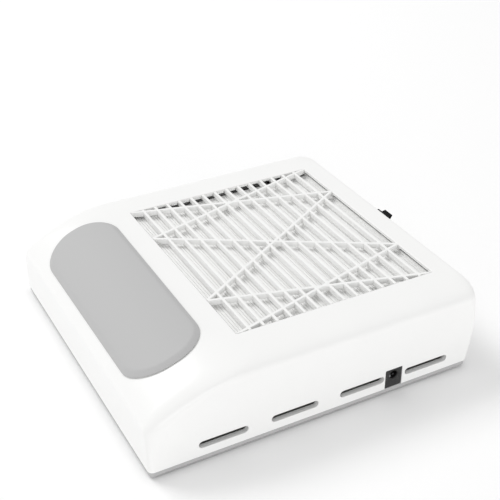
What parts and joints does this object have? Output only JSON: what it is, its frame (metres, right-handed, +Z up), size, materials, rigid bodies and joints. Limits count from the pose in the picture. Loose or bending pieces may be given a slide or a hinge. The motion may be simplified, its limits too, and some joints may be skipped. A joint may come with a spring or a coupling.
{
  "type": "nail dust collector",
  "caption": "Desk-top nail dust collector: low white housing with a wrist pad on the slope, slatted intake over a pull-out pleated filter, fan, side vents, rocker switch and power socket.",
  "frame": {"origin": "centre of the bounding box in plan, at the soles of the feet", "axes": "+X to the right of the user who rests a wrist on the pad, +Y away from the user, +Z up"},
  "size_m": [0.25, 0.269, 0.0713],
  "materials": {
    "white_abs": "smooth moulded white ABS",
    "grey_abs": "fine-grained moulded grey ABS",
    "black_abs": "moulded black plastic",
    "pad_rubber": "soft matt grey elastomer",
    "filter_paper": "pleated non-woven filter paper",
    "black_rubber": "matt black rubber",
    "steel": "plated steel",
    "copper": "enamelled copper winding",
    "brass": "stamped brass",
    "board_green": "glass-fibre circuit board",
    "red_sleeve": "red wire sleeve",
    "black_sleeve": "black wire sleeve"
  },
  "bodies": {
    "housing": {"top_cover": "white_abs", "intake_grille": "white_abs", "base_plate": "grey_abs", "wrist_pad": "pad_rubber", "duct_plate": "white_abs", "fan_frame": "black_abs", "fan_stator": "copper", "fan_bearing_lower": "steel", "fan_bearing_upper": "steel", "switch_housing": "black_abs", "switch_terminal_1": "brass", "switch_terminal_2": "brass", "dc_jack": "black_abs", "dc_jack_pin": "steel", "jack_board": "board_green", "lead_socket_to_switch": "red_sleeve", "lead_switch_to_fan": "red_sleeve", "lead_socket_to_fan": "black_sleeve", "foot_1": "black_rubber", "base_screw_1": "steel", "duct_screw_1": "steel", "fan_screw_1": "steel", "foot_2": "black_rubber", "base_screw_2": "steel", "duct_screw_2": "steel", "fan_screw_2": "steel", "foot_3": "black_rubber", "base_screw_3": "steel", "duct_screw_3": "steel", "fan_screw_3": "steel", "foot_4": "black_rubber", "base_screw_4": "steel", "duct_screw_4": "steel", "fan_screw_4": "steel"},
    "filter_drawer": {"filter_tray": "black_abs", "finger_well": "black_abs", "filter_front": "white_abs", "filter_paper": "filter_paper"},
    "impeller": {"fan_impeller": "black_abs", "rotor_magnet": "black_rubber", "fan_shaft": "steel"},
    "rocker": {"switch_rocker": "black_abs"}
  },
  "joints": [
    {"name": "filter_slide", "type": "slide", "parent": "housing", "child": "filter_drawer", "axis": [-1, 0, 0], "range_m": [0, 0.2]},
    {"name": "fan_spin", "type": "hinge", "parent": "housing", "child": "impeller", "pos_m": [0, 0.02601, 0.026], "axis": [0, 0, 1], "continuous": true},
    {"name": "rocker_tilt", "type": "hinge", "parent": "housing", "child": "rocker", "pos_m": [0, 0.12271, 0.0552], "axis": [-1, 0, 0], "range_deg": [0, 24]}
  ]
}
